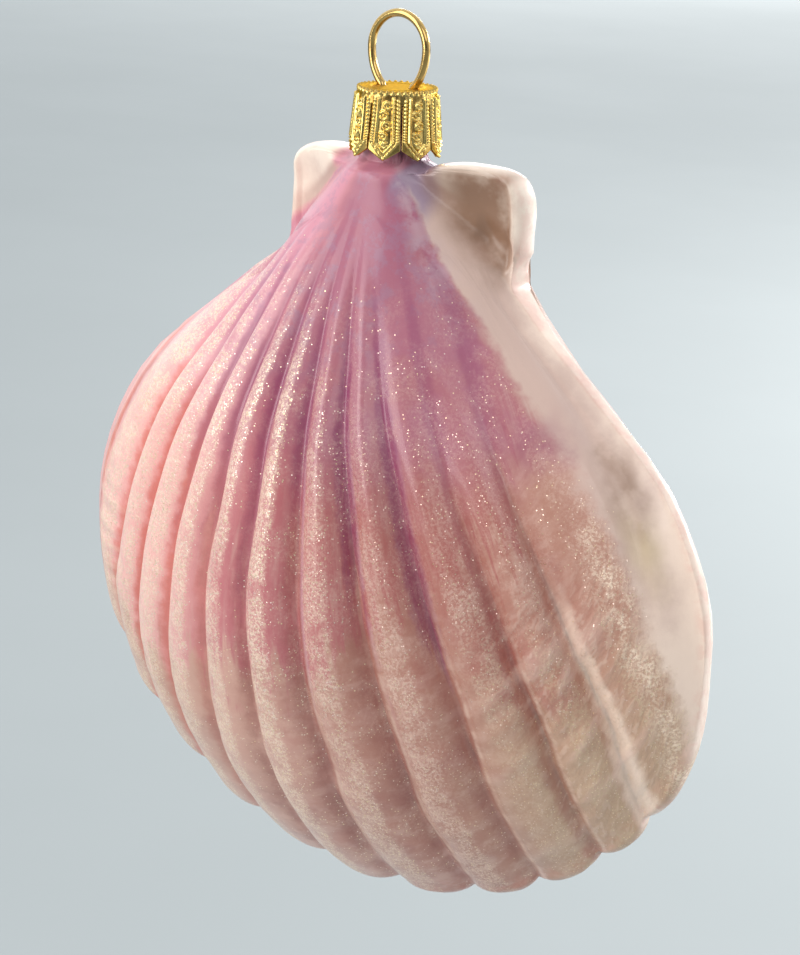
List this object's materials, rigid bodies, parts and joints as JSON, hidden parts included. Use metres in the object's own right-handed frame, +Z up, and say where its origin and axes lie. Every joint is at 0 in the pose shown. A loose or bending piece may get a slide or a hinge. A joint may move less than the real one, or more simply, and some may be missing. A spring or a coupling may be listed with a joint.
{
  "type": "glass scallop shell ornament",
  "caption": "Hanging ornament of blown glass in the shape of a closed, ribbed scallop shell with two ears, under a crown cap and a wire loop.",
  "frame": {"origin": "inside of the top of the hanging loop, where a hook bears", "axes": "+Z up along the neck, away from the shell's ribbed edge; -Y out of the front valve; X across the ears"},
  "size_m": [0.1096, 0.0493, 0.1268],
  "materials": {
    "painted_glass": "glossy pearl paint over blown glass, plum at the hinge, pink and coral over the ribs, cream at the sides, with fine glitter along the ribs",
    "gold_cap": "bright gold plating on stamped relief",
    "gold_wire": "polished gold-plated wire"
  },
  "bodies": {
    "root": {"glass_shell": "painted_glass", "crown_cap": "gold_cap", "hanging_loop": "gold_wire"}
  },
  "joints": []
}
